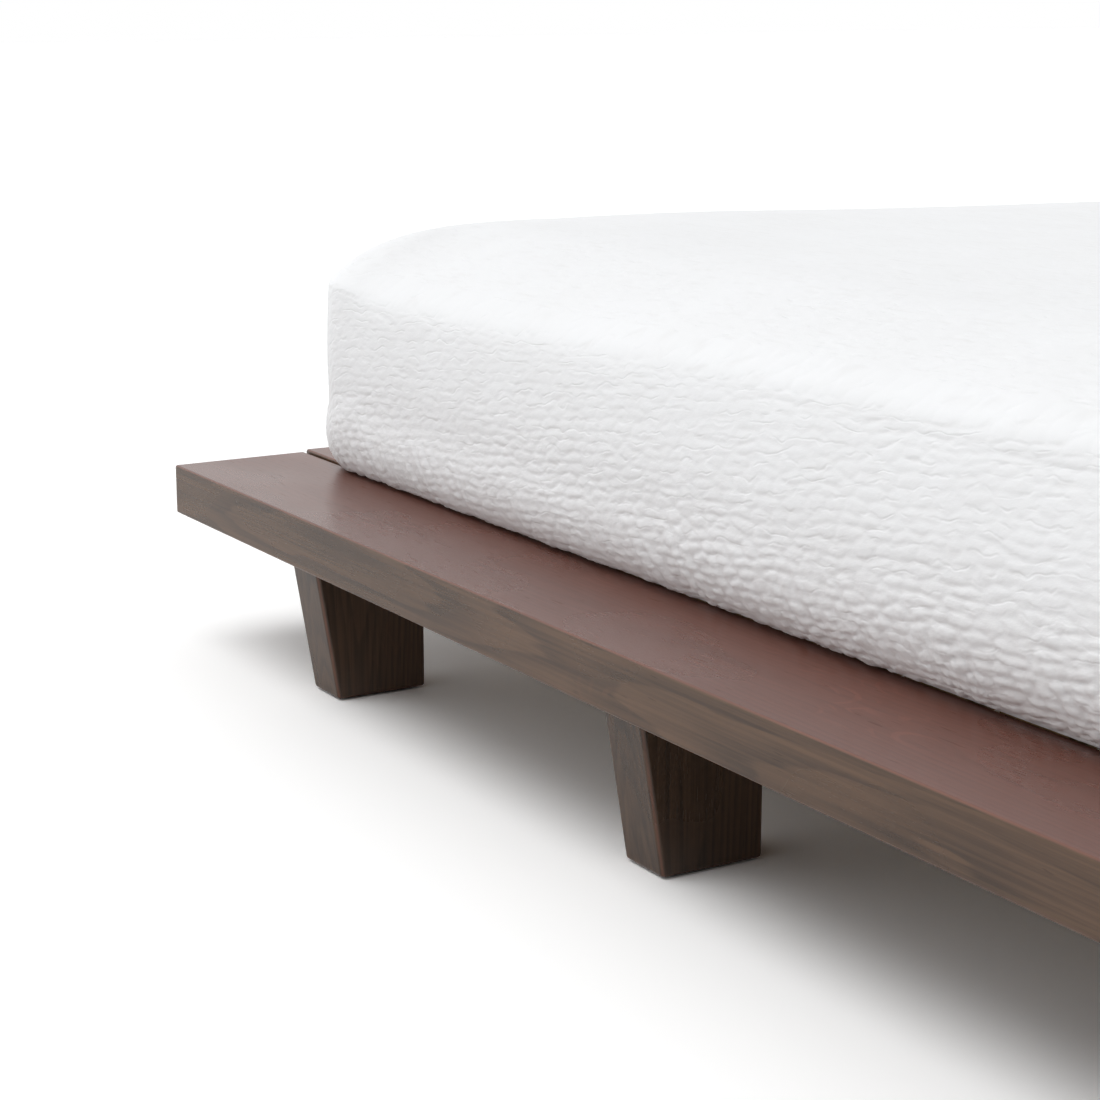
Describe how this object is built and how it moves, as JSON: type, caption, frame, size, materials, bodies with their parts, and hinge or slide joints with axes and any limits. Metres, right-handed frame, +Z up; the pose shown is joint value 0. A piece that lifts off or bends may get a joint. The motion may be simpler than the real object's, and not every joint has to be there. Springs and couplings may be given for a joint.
{
  "type": "king size platform bed",
  "caption": "Low king size platform bed: thick ledge boards on tapered block legs, slatted deck on a centre beam with levelling feet, mattress and tucked quilted coverlet.",
  "frame": {"origin": "on the floor under the middle of the bed", "axes": "+X across the bed to the right seen from the foot end, +Y from the foot end to the head end, +Z up"},
  "size_m": [2.302, 2.134, 0.5375],
  "materials": {
    "stained_oak": "satin dark stain",
    "plain_pine": "planed, unfinished",
    "black_steel": "satin black",
    "zinc_steel": "zinc plated",
    "brass_insert": "turned",
    "black_nylon": "matt",
    "grey_felt": "pressed felt",
    "foam_core": "knitted ticking",
    "foam_comfort": "knitted ticking",
    "white_quilt": "crinkled cotton"
  },
  "bodies": {
    "frame": {"side_board_left": "stained_oak", "cleat_left": "plain_pine", "leg_left_foot": "stained_oak", "leg_left_middle": "stained_oak", "leg_left_head": "stained_oak", "corner_bracket_left_foot": "black_steel", "corner_bracket_left_head": "black_steel", "side_board_right": "stained_oak", "cleat_right": "plain_pine", "leg_right_foot": "stained_oak", "leg_right_middle": "stained_oak", "leg_right_head": "stained_oak", "corner_bracket_right_foot": "black_steel", "corner_bracket_right_head": "black_steel", "end_board_foot": "stained_oak", "beam_shoe_foot": "black_steel", "end_board_head": "stained_oak", "beam_shoe_head": "black_steel", "centre_beam": "plain_pine", "centre_leg_foot": "plain_pine", "centre_leg_middle": "plain_pine", "centre_leg_head": "plain_pine", "slat_01": "plain_pine", "slat_02": "plain_pine", "slat_03": "plain_pine", "slat_04": "plain_pine", "slat_05": "plain_pine", "slat_06": "plain_pine", "slat_07": "plain_pine", "slat_08": "plain_pine", "slat_09": "plain_pine", "slat_10": "plain_pine", "slat_11": "plain_pine", "slat_12": "plain_pine", "slat_13": "plain_pine", "leg_glides": "grey_felt", "hanger_bolts": "zinc_steel", "threaded_inserts": "brass_insert", "bracket_bolts": "zinc_steel", "cleat_screws": "zinc_steel", "slat_screws": "zinc_steel", "shoe_screws": "zinc_steel", "leveller_bushes": "brass_insert"},
    "bedding": {"mattress_core": "foam_core", "mattress_comfort_layer": "foam_comfort", "coverlet": "white_quilt"},
    "leveller_pad_foot": {"leveller_pad_foot": "black_nylon"},
    "leveller_stem_foot": {"leveller_stem_foot": "zinc_steel"},
    "leveller_pad_middle": {"leveller_pad_middle": "black_nylon"},
    "leveller_stem_middle": {"leveller_stem_middle": "zinc_steel"},
    "leveller_pad_head": {"leveller_pad_head": "black_nylon"},
    "leveller_stem_head": {"leveller_stem_head": "zinc_steel"}
  },
  "joints": [
    {"name": "mattress_lift", "type": "slide", "parent": "frame", "child": "bedding", "axis": [0, 0, 1], "range_m": [0, 0.35]},
    {"name": "leveller_travel_foot", "type": "slide", "parent": "frame", "child": "leveller_pad_foot", "axis": [0, 0, -1], "range_m": [0, 0.012]},
    {"name": "leveller_turn_foot", "type": "hinge", "parent": "leveller_pad_foot", "child": "leveller_stem_foot", "pos_m": [0, -0.7185, 0.006], "axis": [0, 0, -1], "range_deg": [0, 2880]},
    {"name": "leveller_travel_middle", "type": "slide", "parent": "frame", "child": "leveller_pad_middle", "axis": [0, 0, -1], "range_m": [0, 0.012]},
    {"name": "leveller_turn_middle", "type": "hinge", "parent": "leveller_pad_middle", "child": "leveller_stem_middle", "pos_m": [0, 0, 0.006], "axis": [0, 0, -1], "range_deg": [0, 2880]},
    {"name": "leveller_travel_head", "type": "slide", "parent": "frame", "child": "leveller_pad_head", "axis": [0, 0, -1], "range_m": [0, 0.012]},
    {"name": "leveller_turn_head", "type": "hinge", "parent": "leveller_pad_head", "child": "leveller_stem_head", "pos_m": [0, 0.7185, 0.006], "axis": [0, 0, -1], "range_deg": [0, 2880]}
  ],
  "couplings": [
    {"joint": "leveller_travel_foot", "follows": "leveller_turn_foot", "m_per_rad": 0.00023873},
    {"joint": "leveller_travel_middle", "follows": "leveller_turn_middle", "m_per_rad": 0.00023873},
    {"joint": "leveller_travel_head", "follows": "leveller_turn_head", "m_per_rad": 0.00023873}
  ]
}
